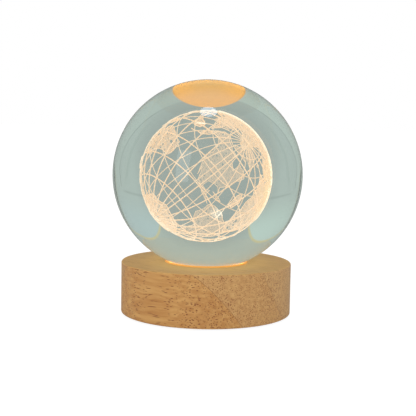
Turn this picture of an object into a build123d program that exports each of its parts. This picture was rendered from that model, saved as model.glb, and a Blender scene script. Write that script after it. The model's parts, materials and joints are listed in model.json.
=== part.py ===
# Crystal ball lamp: a clear glass ball with an engraved globe inside it, loose on a lit wooden base.
# Millimetres, +Z up. The origin is on the table, under the middle of the base. The front is towards -Y.
import os
from math import cos, radians, sin, sqrt

from build123d import *

os.makedirs("parts", exist_ok=True)

# Driving sizes of the whole lamp
ball_diameter = 80.0
ball_sink = 3.2  # how far the ball's lowest point lies below the wood's top face
base_diameter = 72.0
base_height = 21.4
foot_proud = 0.5  # how far the feet lift the wood off the table

# Clearances, shared by every piece
slip_gap = 0.15  # between a piece and the pocket that it drops into
screw_gap = 0.05  # between a screw and its hole
seat_gap = 0.2  # between the ball and the dish that it sits in
overrun = 1.0  # how far a cut runs past the face that it opens

# Wooden base
edge_radius = 0.5
cavity_diameter = 48.0
cavity_depth = 11.0

# Translucent seat dish, let into the top of the wood, with its middle down in the bore
dish_diameter = 34.8
dish_recess_depth = 2.0

# Bottom cover, its screws and its feet
cover_diameter = 58.0
cover_thickness = 2.0
cover_screw_circle = 53.0
cover_screw_count = 3
cover_screw_length = 8.0
foot_diameter = 8.0
foot_recess = 1.0
foot_circle = 36.0
foot_count = 4
foot_edge_radius = 0.3

# Light holder, with the frosted lens on its rim
holder_tube_diameter = 27.0
holder_wall = 1.2
holder_flange_diameter = 40.0
holder_flange_thickness = 1.6
holder_floor_thickness = 1.5
holder_rise = 4.6  # from the cavity's ceiling to the tube's rim
holder_screw_circle = 34.4
holder_screw_count = 3
holder_screw_length = 8.0
holder_boss_diameter = 4.6
holder_boss_height = 3.0
lens_thickness = 1.4
lens_spigot_height = 0.8
wire_hole_diameter = 5.0

# Light board and what is soldered to it
led_board_thickness = 1.0
led_board_margin = 0.3  # all round, inside the holder's tube
led_count = 4
led_circle = 12.0
led_length = 3.5
led_width = 2.8
led_height = 0.8
phosphor_margin = 0.4
phosphor_depth = 0.5
resistor_length = 3.2
resistor_width = 1.6
resistor_height = 0.6
resistor_offset = 8.8
board_screw_offset = 9.3
board_screw_length = 5.0

# Countersunk and pan heads
wood_screw_diameter = 2.4
wood_screw_head_diameter = 4.2
small_screw_diameter = 1.8
small_screw_head_diameter = 3.2
small_screw_head_height = 1.0
head_taper = 41  # degrees, half of a countersunk head's angle
drive_length = 2.0
drive_width = 0.5
drive_depth = 0.5

# Power inlet in the back of the base
inlet_shell_width = 8.94
inlet_shell_height = 3.26
inlet_shell_wall = 0.3
inlet_shell_length = 7.35
inlet_back_thickness = 1.6
inlet_tongue_width = 6.7
inlet_tongue_thickness = 0.7
inlet_tongue_length = 4.45
inlet_axis_height = 8.6  # above the table
bezel_width = 15.0
bezel_height = 8.0
bezel_thickness = 1.2
bezel_recess = 1.0  # from the wood's rearmost point to the bezel's face
bezel_edge_radius = 0.2
inlet_board_width = 12.0
inlet_board_length = 14.0
inlet_board_thickness = 1.0
inlet_screw_offset = 4.2
inlet_screw_inset = 8.2  # from the wood's rearmost point, less the bezel's recess and thickness
inlet_screw_length = 4.0

# Wires between the two boards
wire_diameter = 1.0
wire_offset = 1.3
wire_pad_inset = 2.0  # from the inlet board's inner end
wire_run_height = 1.85  # of the wire's middle above the inlet board
wire_top_height = 1.8  # of the wire's middle above the light board
wire_top_reach = 3.6
wire_bend_share = 1.1  # of the wire's diameter, at the middle of each bend
solder_diameter = 2.0
solder_height = 0.7

# Globe engraved inside the ball
globe_diameter = 36.4
globe_shift_x = -0.57  # the engraving's middle, off the ball's
globe_shift_z = -0.39
engraved_line = 0.3
engraved_line_spacing = 0.05  # between lines that cross and between lines and land
land_thickness = 0.25
globe_tilt = 53.2  # degrees, from vertical to the north pole
globe_azimuth = -33.0  # degrees, from +X to the side that the pole leans to
globe_spin = 30.4  # degrees about the pole, to longitude 0
meridian_step = 15  # degrees
parallel_step = 18  # degrees
meridian_end = 85.5  # degrees of latitude, where the lines stop short of the poles
frustum_near_share = 0.3
frustum_far_share = 1.15

# Coasts of the engraved land, chosen by hand: (longitude, latitude) in degrees
land_outlines = {
    "north_america": [
        (-168, 66), (-156, 71), (-140, 70), (-125, 70), (-110, 68), (-96, 68), (-94, 60), (-85, 55),
        (-80, 52), (-78, 58), (-77, 62), (-65, 59), (-56, 52), (-62, 47), (-70, 43), (-75, 37),
        (-81, 31), (-80, 25), (-83, 30), (-90, 30), (-97, 27), (-97, 20), (-90, 19), (-87, 21),
        (-88, 16), (-83, 11), (-79, 9), (-86, 12), (-95, 16), (-105, 20), (-109, 26), (-114, 31),
        (-110, 23), (-118, 34), (-124, 41), (-124, 48), (-135, 58), (-152, 60), (-163, 55), (-160, 59),
    ],
    "arctic_islands": [(-122, 74), (-105, 78), (-90, 82), (-68, 82), (-78, 76), (-64, 67), (-78, 70), (-100, 71)],
    "greenland": [(-72, 78), (-50, 82), (-25, 82), (-20, 74), (-40, 65), (-44, 60), (-53, 66), (-56, 74)],
    "caribbean": [(-84, 22), (-77, 22), (-70, 19), (-76, 19)],
    "south_america": [
        (-78, 9), (-72, 12), (-62, 10), (-51, 4), (-48, 0), (-36, -6), (-39, -15), (-42, -23),
        (-49, -28), (-57, -36), (-63, -41), (-68, -47), (-69, -52), (-72, -53), (-75, -48), (-73, -38),
        (-71, -28), (-70, -18), (-76, -14), (-81, -5), (-78, 1),
    ],
    "africa": [
        (-6, 35), (10, 37), (11, 33), (20, 31), (33, 31), (37, 22), (43, 12), (51, 11), (42, -2),
        (40, -12), (35, -22), (30, -31), (20, -35), (15, -26), (12, -14), (9, 0), (8, 5),
        (-8, 5), (-17, 13), (-16, 22),
    ],
    "madagascar": [(44, -17), (49, -12), (50, -17), (47, -25), (44, -24)],
    "europe": [
        (-9, 37), (-9, 43), (-2, 44), (-4, 48), (3, 51), (8, 54), (10, 58), (5, 60), (14, 67), (26, 71),
        (40, 67), (45, 66), (45, 47), (39, 46), (34, 45), (28, 42), (26, 38), (22, 37), (18, 42),
        (13, 45), (17, 40), (14, 41), (8, 44), (0, 40), (-5, 36),
    ],
    "british_isles": [(-5, 50), (1, 51), (0, 53), (-3, 58), (-6, 57), (-4, 54)],
    "iceland": [(-24, 65), (-20, 63.5), (-14, 65), (-17, 66.5)],
    "west_asia": [
        (45, 47), (45, 66), (68, 69), (80, 73), (80, 10), (77, 8), (73, 18), (67, 25), (57, 26),
        (50, 30), (56, 25), (59, 22), (52, 15), (44, 13), (35, 29), (36, 36), (28, 37), (28, 41), (40, 41),
    ],
    "east_asia": [
        (80, 73), (104, 77), (128, 72), (160, 70), (179, 68), (178, 63), (163, 58), (156, 52), (155, 58),
        (140, 54), (138, 46), (128, 40), (126, 35), (122, 38), (119, 36), (122, 30), (114, 22), (106, 20),
        (109, 12), (103, 10), (103, 2), (99, 8), (97, 17), (91, 22), (80, 14),
    ],
    "japan": [(130, 31), (136, 34), (141, 36), (142, 40), (145, 43), (141, 45), (139, 38), (132, 35)],
    "sumatra_and_java": [(96, 5), (104, -2), (107, -7), (115, -8), (105, -7), (100, -2)],
    "borneo": [(109, 1), (117, 7), (118, 1), (115, -4), (110, -3)],
    "new_guinea": [(131, -1), (141, -3), (150, -10), (138, -8)],
    "australia": [
        (114, -22), (122, -18), (130, -12), (136, -12), (140, -17), (142, -11), (146, -19), (153, -27),
        (150, -37), (144, -38), (137, -34), (130, -32), (118, -35), (114, -32),
    ],
    "new_zealand": [(173, -35), (178, -38), (174, -42), (169, -47), (166, -46), (173, -40)],
    "antarctica": [
        (-170, -79), (-130, -75), (-100, -73), (-62, -65), (-60, -76), (-30, -77), (0, -70), (40, -68),
        (80, -67), (120, -67), (160, -70),
    ],
}

# Sizes and heights worked out from those above
ball_radius = ball_diameter / 2
base_radius = base_diameter / 2
base_top = foot_proud + base_height
ball_centre_height = base_top - ball_sink + ball_radius
cavity_ceiling = foot_proud + cavity_depth
recess_floor = base_top - dish_recess_depth
cover_top = foot_proud + cover_thickness
bore_diameter = holder_tube_diameter + 2 * slip_gap
flange_bottom = cavity_ceiling - holder_flange_thickness
holder_floor_top = flange_bottom + holder_floor_thickness
holder_rim = cavity_ceiling + holder_rise
lens_top = holder_rim + lens_thickness
holder_inner_diameter = holder_tube_diameter - 2 * holder_wall
led_board_top = holder_floor_top + led_board_thickness
led_board_diameter = holder_inner_diameter - 2 * led_board_margin
inlet_board_top = inlet_axis_height - inlet_shell_height / 2
inlet_board_bottom = inlet_board_top - inlet_board_thickness
inlet_face = base_radius - bezel_recess
pocket_face = inlet_face - bezel_thickness
inlet_board_rear = pocket_face - slip_gap
inlet_board_front = inlet_board_rear - inlet_board_length
inlet_screw_place = pocket_face - inlet_screw_inset
wire_pad_place = inlet_board_front + wire_pad_inset

globe_radius = globe_diameter / 2
line_radius = engraved_line / 2
line_half_pitch = line_radius + engraved_line_spacing / 2
meridian_radius = globe_radius - line_half_pitch
parallel_radius = globe_radius + line_half_pitch
land_outer_radius = meridian_radius - line_radius - engraved_line_spacing
land_inner_radius = land_outer_radius - land_thickness
globe_centre = (globe_shift_x, 0, ball_centre_height + globe_shift_z)
globe_frame = Plane(
    Location(globe_centre, (0, 0, globe_azimuth))
    * Location((0, 0, 0), (0, globe_tilt, 0))
    * Location((0, 0, 0), (0, 0, globe_spin))
)


def save(piece, name):
    """Labels a finished piece and writes its STEP file."""
    piece.part.label = name
    export_step(piece.part, f"parts/{name}.step")


def ball_height_at(radius):
    """Height of the ball's underside at a distance from its axis."""
    return ball_centre_height - sqrt(ball_radius**2 - radius**2)


def places_on_circle(diameter, count, start):
    """Points of an even ring of places, as (x, y)."""
    angles = [radians(start + 360 * i / count) for i in range(count)]
    return [(diameter / 2 * cos(a), diameter / 2 * sin(a)) for a in angles]


def globe_direction(longitude, latitude):
    """Unit vector from the engraved globe's middle to a place on it."""
    lon, lat = radians(longitude), radians(latitude)
    level = globe_frame.x_dir * cos(lon) + globe_frame.y_dir * sin(lon)
    return level * cos(lat) + globe_frame.z_dir * sin(lat)


cover_screw_places = places_on_circle(cover_screw_circle, cover_screw_count, start=-90)
foot_places = places_on_circle(foot_circle, foot_count, start=45)
holder_screw_places = places_on_circle(holder_screw_circle, holder_screw_count, start=-90)
board_screw_places = [(board_screw_offset, 0), (-board_screw_offset, 0)]
led_places = places_on_circle(led_circle, led_count, start=45)
resistor_places = [(0, resistor_offset), (0, -resistor_offset)]
inlet_screw_places = [(inlet_screw_offset, inlet_screw_place), (-inlet_screw_offset, inlet_screw_place)]


# Wooden base: a turned disc with a stepped bore and a cavity under it
with BuildPart() as wooden_base:
    with BuildSketch(Plane.XY.offset(foot_proud)):
        Circle(base_radius)
    extrude(amount=base_height)
    fillet(wooden_base.edges().filter_by(GeomType.CIRCLE), radius=edge_radius)
    with BuildSketch(Plane.XY.offset(recess_floor)):
        Circle(dish_diameter / 2 + slip_gap)
    extrude(amount=dish_recess_depth + overrun, mode=Mode.SUBTRACT)
    with BuildSketch(Plane.XY.offset(foot_proud)):
        Circle(bore_diameter / 2)
    extrude(amount=base_height, mode=Mode.SUBTRACT)
    with BuildSketch(Plane.XY.offset(cavity_ceiling)):
        Circle(cavity_diameter / 2)
    extrude(amount=-cavity_depth - overrun, mode=Mode.SUBTRACT)
    with BuildSketch(Plane.XY.offset(cover_top)):
        Circle(cover_diameter / 2 + slip_gap)
    extrude(amount=-cover_thickness - overrun, mode=Mode.SUBTRACT)
    with BuildSketch(Plane.XY.offset(cavity_ceiling)):
        with Locations(*holder_screw_places):
            Circle(wood_screw_diameter / 2 + screw_gap)
    extrude(amount=holder_screw_length - holder_flange_thickness + slip_gap, mode=Mode.SUBTRACT)
    with BuildSketch(Plane.XY.offset(cover_top)):
        with Locations(*cover_screw_places):
            Circle(wood_screw_diameter / 2 + screw_gap)
    extrude(amount=cover_screw_length - cover_thickness + slip_gap, mode=Mode.SUBTRACT)
    inlet_plane = Plane(origin=(0, pocket_face, inlet_axis_height), x_dir=(-1, 0, 0), z_dir=(0, 1, 0))
    with BuildSketch(inlet_plane):
        SlotOverall(bezel_width + 2 * slip_gap, bezel_height + 2 * slip_gap)
    extrude(amount=bezel_thickness + bezel_recess + overrun, mode=Mode.SUBTRACT)
    inlet_hole_top = inlet_axis_height + inlet_shell_height / 2 + slip_gap
    inlet_hole_height = inlet_hole_top - inlet_board_bottom
    with BuildSketch(inlet_plane):
        with Locations((0, (inlet_hole_top + inlet_board_bottom) / 2 - inlet_axis_height)):
            Rectangle(inlet_board_width + 2 * slip_gap, inlet_hole_height)
    extrude(amount=cavity_diameter / 4 - pocket_face, mode=Mode.SUBTRACT)
    with BuildSketch(Plane.XY.offset(inlet_board_bottom)):
        with Locations(*inlet_screw_places):
            Circle(small_screw_diameter / 2 + screw_gap)
    extrude(amount=inlet_board_thickness - inlet_screw_length - slip_gap, mode=Mode.SUBTRACT)
save(wooden_base, "wooden_base")


# Seat dish: its top is dished to the ball, and its middle fills the bore over the lens
with BuildPart() as seat_dish:
    with BuildSketch(Plane.XY.offset(recess_floor)):
        Circle(dish_diameter / 2)
    extrude(amount=ball_height_at(dish_diameter / 2) - recess_floor)
    with BuildSketch(Plane.XY.offset(lens_top + slip_gap)):
        Circle(bore_diameter / 2 - slip_gap)
    extrude(amount=recess_floor - lens_top - slip_gap)
    with Locations((0, 0, ball_centre_height)):
        Sphere(ball_radius + seat_gap, mode=Mode.SUBTRACT)
save(seat_dish, "seat_dish")


# Engraved globe: lines of longitude
with BuildPart() as engraved_meridians:
    for longitude in range(0, 360, meridian_step):
        arc_plane = Plane(
            origin=globe_centre,
            x_dir=globe_direction(longitude, 0),
            z_dir=globe_direction(longitude - 90, 0),
        )
        with BuildLine(arc_plane) as arc:
            CenterArc((0, 0), meridian_radius, -meridian_end, 2 * meridian_end)
        with BuildSketch(Plane(origin=arc.line @ 0, z_dir=arc.line % 0)):
            Circle(line_radius)
        sweep(path=arc.line)
save(engraved_meridians, "engraved_meridians")

# Engraved globe: lines of latitude
with BuildPart() as engraved_parallels:
    for latitude in range(parallel_step - 90, 90, parallel_step):
        with Locations(globe_frame.offset(parallel_radius * sin(radians(latitude)))):
            Torus(parallel_radius * cos(radians(latitude)), line_radius)
save(engraved_parallels, "engraved_parallels")


def middle_of(outline):
    """Direction to the middle of an outline on the globe."""
    total = Vector(0, 0, 0)
    for longitude, latitude in outline:
        total = total + globe_direction(longitude, latitude)
    return total.normalized()


def land_patch(outline):
    """One land mass: a cone from the globe's middle, through its coast, kept where it meets a thin shell."""
    middle = middle_of(outline)
    flat = Plane(origin=globe_centre, z_dir=middle)
    coast_shares = []
    for longitude, latitude in outline:
        place = globe_direction(longitude, latitude)
        reach = place.dot(middle)
        coast_shares.append((place.dot(flat.x_dir) / reach, place.dot(flat.y_dir) / reach))
    with BuildPart() as patch:
        for distance in (land_inner_radius * frustum_near_share, land_outer_radius * frustum_far_share):
            with BuildSketch(flat.offset(distance)):
                Polygon(*[(x * distance, y * distance) for x, y in coast_shares], align=None)
        loft(ruled=True)
        with Locations(globe_centre):
            Sphere(land_outer_radius, mode=Mode.INTERSECT)
            Sphere(land_inner_radius, mode=Mode.SUBTRACT)
    return patch.part


# Engraved globe: land
patches = [land_patch(outline) for outline in land_outlines.values()]
with BuildPart() as engraved_land:
    add(patches)
save(engraved_land, "engraved_land")


# Crystal ball: solid glass, with the marks' own room left in it
with BuildPart() as crystal_ball:
    with Locations((0, 0, ball_centre_height)):
        Sphere(ball_radius)
    add(engraved_meridians.part, mode=Mode.SUBTRACT)
    add(engraved_parallels.part, mode=Mode.SUBTRACT)
    add(engraved_land.part, mode=Mode.SUBTRACT)
save(crystal_ball, "crystal_ball")


# Light holder: a white cup with a flange, screwed up under the cavity's ceiling
with BuildPart() as light_holder:
    with BuildSketch(Plane.XY.offset(flange_bottom)):
        Circle(holder_flange_diameter / 2)
    extrude(amount=holder_flange_thickness)
    with BuildSketch(Plane.XY.offset(flange_bottom)):
        Circle(holder_tube_diameter / 2)
    extrude(amount=holder_rim - flange_bottom)
    with BuildSketch(Plane.XY.offset(holder_floor_top)):
        Circle(holder_inner_diameter / 2)
    extrude(amount=holder_rim - holder_floor_top, mode=Mode.SUBTRACT)
    with BuildSketch(Plane.XY.offset(flange_bottom - holder_boss_height)):
        with Locations(*board_screw_places):
            Circle(holder_boss_diameter / 2)
    extrude(amount=holder_boss_height)
    with BuildSketch(Plane.XY.offset(holder_floor_top)):
        with Locations(*board_screw_places):
            Circle(small_screw_diameter / 2 + screw_gap)
    extrude(amount=led_board_thickness - board_screw_length - slip_gap, mode=Mode.SUBTRACT)
    with BuildSketch(Plane.XY.offset(flange_bottom)):
        Circle(wire_hole_diameter / 2)
    extrude(amount=holder_floor_thickness, mode=Mode.SUBTRACT)
    with Locations(*[Location((x, y, flange_bottom), (180, 0, 0)) for x, y in holder_screw_places]):
        CounterSinkHole(
            wood_screw_diameter / 2 + screw_gap,
            wood_screw_head_diameter / 2 + screw_gap,
            depth=holder_flange_thickness + overrun,
        )
save(light_holder, "light_holder")

# Frosted lens, with a spigot that centres it in the holder's tube
with BuildPart() as diffuser_lens:
    with BuildSketch(Plane.XY.offset(holder_rim)):
        Circle(holder_tube_diameter / 2)
    extrude(amount=lens_thickness)
    with BuildSketch(Plane.XY.offset(holder_rim)):
        Circle(holder_inner_diameter / 2 - slip_gap)
        Circle(led_board_diameter / 2 - holder_wall, mode=Mode.SUBTRACT)
    extrude(amount=-lens_spigot_height)
save(diffuser_lens, "diffuser_lens")


# Light board
with BuildPart() as led_board:
    with BuildSketch(Plane.XY.offset(holder_floor_top)):
        Circle(led_board_diameter / 2)
        Circle(wire_hole_diameter / 2, mode=Mode.SUBTRACT)
        with Locations(*board_screw_places):
            Circle(small_screw_diameter / 2 + screw_gap, mode=Mode.SUBTRACT)
    extrude(amount=led_board_thickness)
save(led_board, "led_board")

# Light emitters: white packages, each with a shallow dish of yellow phosphor
with BuildPart() as led_phosphors:
    with BuildSketch(Plane.XY.offset(led_board_top + led_height)):
        with Locations(*led_places):
            Rectangle(led_length - 2 * phosphor_margin, led_width - 2 * phosphor_margin)
    extrude(amount=-phosphor_depth)
save(led_phosphors, "led_phosphors")

with BuildPart() as led_packages:
    with BuildSketch(Plane.XY.offset(led_board_top)):
        with Locations(*led_places):
            Rectangle(led_length, led_width)
    extrude(amount=led_height)
    add(led_phosphors.part, mode=Mode.SUBTRACT)
save(led_packages, "led_packages")

with BuildPart() as resistors:
    with BuildSketch(Plane.XY.offset(led_board_top)):
        with Locations(*resistor_places):
            Rectangle(resistor_length, resistor_width)
    extrude(amount=resistor_height)
save(resistors, "resistors")


def cut_drive(face_height, depth, places):
    """Cuts a cross recess into each screw's head, from the face that the driver meets."""
    with BuildSketch(Plane.XY.offset(face_height)) as cross:
        with Locations(*places):
            Rectangle(drive_length, drive_width)
            Rectangle(drive_width, drive_length)
    extrude(cross.sketch, amount=depth, mode=Mode.SUBTRACT)


def pan_head_screws(name, places, seat, length):
    """Small screws whose heads stand on a board and whose shanks point down."""
    with BuildPart() as screws:
        with BuildSketch(Plane.XY.offset(seat)):
            with Locations(*places):
                Circle(small_screw_head_diameter / 2)
        extrude(amount=small_screw_head_height)
        with BuildSketch(Plane.XY.offset(seat)):
            with Locations(*places):
                Circle(small_screw_diameter / 2)
        extrude(amount=-length)
        cut_drive(seat + small_screw_head_height, -drive_depth, places)
    save(screws, name)


def countersunk_screws(name, places, face, length):
    """Wood screws driven upwards, with their heads flush with a face that looks down."""
    head_height = (wood_screw_head_diameter - wood_screw_diameter) / 2
    with BuildPart() as screws:
        with BuildSketch(Plane.XY.offset(face)):
            with Locations(*places):
                Circle(wood_screw_head_diameter / 2)
        extrude(amount=head_height, taper=head_taper)
        with BuildSketch(Plane.XY.offset(face)):
            with Locations(*places):
                Circle(wood_screw_diameter / 2)
        extrude(amount=length)
        cut_drive(face, drive_depth, places)
    save(screws, name)


pan_head_screws("board_screws", board_screw_places, led_board_top, board_screw_length)
pan_head_screws("inlet_board_screws", inlet_screw_places, inlet_board_top, inlet_screw_length)
countersunk_screws("holder_screws", holder_screw_places, flange_bottom, holder_screw_length)
countersunk_screws("cover_screws", cover_screw_places, foot_proud, cover_screw_length)


# Power inlet: a steel shell with a tongue, on its own small board, behind a bezel
inlet_face_plane = Plane(origin=(0, inlet_face, inlet_axis_height), x_dir=(-1, 0, 0), z_dir=(0, 1, 0))
with BuildPart() as inlet_shell:
    with BuildSketch(inlet_face_plane):
        SlotOverall(inlet_shell_width, inlet_shell_height)
    extrude(amount=-inlet_shell_length)
    with BuildSketch(inlet_face_plane):
        SlotOverall(inlet_shell_width - 2 * inlet_shell_wall, inlet_shell_height - 2 * inlet_shell_wall)
    extrude(amount=-inlet_shell_length, mode=Mode.SUBTRACT)
save(inlet_shell, "inlet_shell")

with BuildPart() as inlet_tongue:
    tongue_root_plane = inlet_face_plane.offset(inlet_back_thickness - inlet_shell_length)
    with BuildSketch(tongue_root_plane):
        SlotOverall(inlet_shell_width - 2 * inlet_shell_wall, inlet_shell_height - 2 * inlet_shell_wall)
    extrude(amount=-inlet_back_thickness)
    with BuildSketch(tongue_root_plane):
        Rectangle(inlet_tongue_width, inlet_tongue_thickness)
    extrude(amount=inlet_tongue_length)
save(inlet_tongue, "inlet_tongue")

with BuildPart() as inlet_bezel:
    with BuildSketch(inlet_plane):
        SlotOverall(bezel_width, bezel_height)
        SlotOverall(inlet_shell_width + 2 * screw_gap, inlet_shell_height + 2 * screw_gap, mode=Mode.SUBTRACT)
    extrude(amount=bezel_thickness)
    bezel_outer_edges = inlet_bezel.faces().sort_by(Axis.Y)[-1].outer_wire().edges()
    fillet(bezel_outer_edges, radius=bezel_edge_radius)
save(inlet_bezel, "inlet_bezel")

with BuildPart() as inlet_board:
    with BuildSketch(Plane.XY.offset(inlet_board_bottom)):
        with Locations((0, (inlet_board_front + inlet_board_rear) / 2)):
            Rectangle(inlet_board_width, inlet_board_length)
        with Locations(*inlet_screw_places):
            Circle(small_screw_diameter / 2 + screw_gap, mode=Mode.SUBTRACT)
    extrude(amount=inlet_board_thickness)
save(inlet_board, "inlet_board")


def wire(name, side):
    """One wire, from the inlet board in towards the middle, up through the holder and over onto the light board."""
    x = side * wire_offset
    run_height = inlet_board_top + wire_run_height
    top_height = led_board_top + wire_top_height
    corners = [
        (x, wire_pad_place, inlet_board_top),
        (x, wire_pad_place, run_height),
        (x, 0, run_height),
        (x, 0, top_height),
        (x, -wire_top_reach, top_height),
        (x, -wire_top_reach, led_board_top),
    ]
    with BuildPart() as tube:
        with BuildLine() as route:
            FilletPolyline(*corners, radius=wire_diameter * wire_bend_share)
        with BuildSketch(Plane(origin=route.line @ 0, z_dir=route.line % 0)):
            Circle(wire_diameter / 2)
        sweep(path=route.line)
    save(tube, name)


wire("wire_red", 1)
wire("wire_black", -1)

# Solder joints, one collar round each wire's end
with BuildPart() as solder_joints:
    for height, y in ((inlet_board_top, wire_pad_place), (led_board_top, -wire_top_reach)):
        with BuildSketch(Plane.XY.offset(height)):
            with Locations((wire_offset, y), (-wire_offset, y)):
                Circle(solder_diameter / 2)
                Circle(wire_diameter / 2, mode=Mode.SUBTRACT)
        extrude(amount=solder_height)
save(solder_joints, "solder_joints")


# Bottom cover, with countersinks for its screws and recesses for the feet
with BuildPart() as bottom_cover:
    with BuildSketch(Plane.XY.offset(foot_proud)):
        Circle(cover_diameter / 2)
    extrude(amount=cover_thickness)
    with BuildSketch(Plane.XY.offset(foot_proud)):
        with Locations(*foot_places):
            Circle(foot_diameter / 2 + slip_gap)
    extrude(amount=foot_recess, mode=Mode.SUBTRACT)
    with Locations(*[Location((x, y, foot_proud), (180, 0, 0)) for x, y in cover_screw_places]):
        CounterSinkHole(
            wood_screw_diameter / 2 + screw_gap,
            wood_screw_head_diameter / 2 + screw_gap,
            depth=cover_thickness + overrun,
        )
save(bottom_cover, "bottom_cover")

# Rubber feet, stuck in the cover's recesses
with BuildPart() as rubber_feet:
    with BuildSketch(Plane.XY):
        with Locations(*foot_places):
            Circle(foot_diameter / 2)
    extrude(amount=foot_proud + foot_recess)
    fillet(rubber_feet.edges().group_by(Axis.Z)[0], radius=foot_edge_radius)
save(rubber_feet, "rubber_feet")
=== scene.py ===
# %% [markdown]
# # A crystal ball lamp
#
# A solid glass ball, 80 mm across, stands loose in a shallow seat on a round wooden base. A light in the base shines
# up into the ball, and a globe of fine laser marks inside the glass catches it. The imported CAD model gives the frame:
# every size and place below is in metres, in the same frame.
#
# The Blender work goes from the camera and the room, through the glass and the marks in it, to the wood.

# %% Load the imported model
import json
from math import pi, radians

import bmesh
import bpy
from mathutils import Euler, Matrix, Vector


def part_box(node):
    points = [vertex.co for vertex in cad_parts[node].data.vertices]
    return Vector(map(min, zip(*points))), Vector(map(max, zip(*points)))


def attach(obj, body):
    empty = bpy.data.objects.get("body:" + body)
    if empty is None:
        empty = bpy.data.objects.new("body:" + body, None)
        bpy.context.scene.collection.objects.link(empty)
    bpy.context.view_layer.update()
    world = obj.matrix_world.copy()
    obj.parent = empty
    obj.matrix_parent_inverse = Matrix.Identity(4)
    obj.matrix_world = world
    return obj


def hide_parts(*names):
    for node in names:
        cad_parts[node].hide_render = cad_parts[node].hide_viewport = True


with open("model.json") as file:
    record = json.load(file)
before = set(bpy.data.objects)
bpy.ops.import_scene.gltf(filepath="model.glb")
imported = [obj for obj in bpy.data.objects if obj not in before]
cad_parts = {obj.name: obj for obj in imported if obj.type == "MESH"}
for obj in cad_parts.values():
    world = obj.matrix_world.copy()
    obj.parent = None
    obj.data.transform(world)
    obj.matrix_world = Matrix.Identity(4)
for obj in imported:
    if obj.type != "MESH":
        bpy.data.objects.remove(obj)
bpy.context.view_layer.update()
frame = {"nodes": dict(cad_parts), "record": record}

MM = 0.001

# %% [markdown]
# ## Sums as wires
#
# Shader and geometry trees are made of small nodes, and written one by one they are hard to read. A `Wire` stands for
# one output socket and does arithmetic: a sum of numbers adds a Math node, and a sum of vectors adds a Vector Math
# node. A `Sheet` stands for one tree, and its `add` puts in any other node.

# %% The Wire and the Sheet
NUMBER_STEPS = {
    "+": "ADD", "-": "SUBTRACT", "*": "MULTIPLY", "/": "DIVIDE", "**": "POWER", "<": "LESS_THAN", ">": "GREATER_THAN"
}
COLOUR_OUT, COLOUR_A, COLOUR_B = 2, 6, 7  # the colour sockets of a Mix node


def is_wide(part):
    """True for a vector or a colour, False for a number."""
    return isinstance(part, (tuple, Vector)) or isinstance(part, Wire) and part.socket.type in ("VECTOR", "RGBA")


class Wire:
    """One output socket of a node, with Python's arithmetic."""

    def __init__(self, sheet, socket):
        self.sheet, self.socket = sheet, socket

    def step(self, sign, other, swapped=False):
        first, second = (other, self) if swapped else (self, other)
        if not is_wide(first) and not is_wide(second):
            return self.sheet.add("ShaderNodeMath", {"operation": NUMBER_STEPS[sign]}, {0: first, 1: second})
        if sign == "*" and is_wide(first) != is_wide(second):
            wide, number = (first, second) if is_wide(first) else (second, first)
            return self.sheet.add("ShaderNodeVectorMath", {"operation": "SCALE"}, {0: wide, "Scale": number})
        return self.sheet.add("ShaderNodeVectorMath", {"operation": NUMBER_STEPS[sign]}, {0: first, 1: second})

    def __add__(self, other): return self.step("+", other)
    def __radd__(self, other): return self.step("+", other, True)
    def __sub__(self, other): return self.step("-", other)
    def __rsub__(self, other): return self.step("-", other, True)
    def __mul__(self, other): return self.step("*", other)
    def __rmul__(self, other): return self.step("*", other, True)
    def __truediv__(self, other): return self.step("/", other)
    def __rtruediv__(self, other): return self.step("/", other, True)
    def __pow__(self, other): return self.step("**", other)
    def __lt__(self, other): return self.step("<", other)
    def __gt__(self, other): return self.step(">", other)

    def out(self, name):
        """Another output of the same node."""
        return Wire(self.sheet, self.socket.node.outputs[name])

    def apply(self, operation, other=0.0):
        """A Math node's own operation, such as FLOOR or MAXIMUM."""
        return self.sheet.add("ShaderNodeMath", {"operation": operation}, {0: self, 1: other})

    def measure(self, operation, other=(0, 0, 0), out="Vector"):
        """A Vector Math node's own operation, such as NORMALIZE or LENGTH."""
        return self.sheet.add("ShaderNodeVectorMath", {"operation": operation}, {0: self, 1: other}, out)

    def ease(self, low, high):
        """0 below low, 1 above high, and a smooth rise between them."""
        settings = {"interpolation_type": "SMOOTHSTEP"}
        return self.sheet.add("ShaderNodeMapRange", settings, {"Value": self, "From Min": low, "From Max": high})

    def band(self, rise, fall):
        """1 between two smooth edges, each given as where it starts and where it ends."""
        return self.ease(*rise) * (1.0 - self.ease(*fall))

    def close_to(self, place, full, none):
        """1 up to the distance full from a place, and 0 beyond the distance none."""
        return 1.0 - (self - place).apply("ABSOLUTE").ease(full, none)

    def parts(self):
        """The x, y and z of a vector."""
        split = self.sheet.add("ShaderNodeSeparateXYZ", {}, {0: self})
        return split, split.out("Y"), split.out("Z")


class Sheet:
    """A node tree that is filled from Python."""

    def __init__(self, tree):
        self.tree = tree

    def add(self, kind, settings, inputs, out=0):
        """One node: its settings first, then its sockets' values or links. It gives one output as a Wire."""
        node = self.tree.nodes.new(kind)
        for name, value in settings.items():
            setattr(node, name, value)
        for name, value in inputs.items():
            if isinstance(value, Wire):
                self.tree.links.new(value.socket, node.inputs[name])
            else:
                node.inputs[name].default_value = value
        return Wire(self, node.outputs[out]) if len(node.outputs) else node

    def mix(self, share, first, second):
        """A colour between two others."""
        first, second = (c if isinstance(c, Wire) else (*c, 1.0) for c in (first, second))
        inputs = {0: share, COLOUR_A: first, COLOUR_B: second}
        return self.add("ShaderNodeMix", {"data_type": "RGBA", "clamp_factor": True}, inputs, COLOUR_OUT)

    def noise(self, where, scale, detail=2.0, roughness=0.5, out="Fac"):
        """Smooth random values; scale is in waves per metre."""
        inputs = {"Vector": where, "Scale": scale, "Detail": detail, "Roughness": roughness}
        return self.add("ShaderNodeTexNoise", {}, inputs, out)


print("ready: Wire and Sheet")

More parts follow.
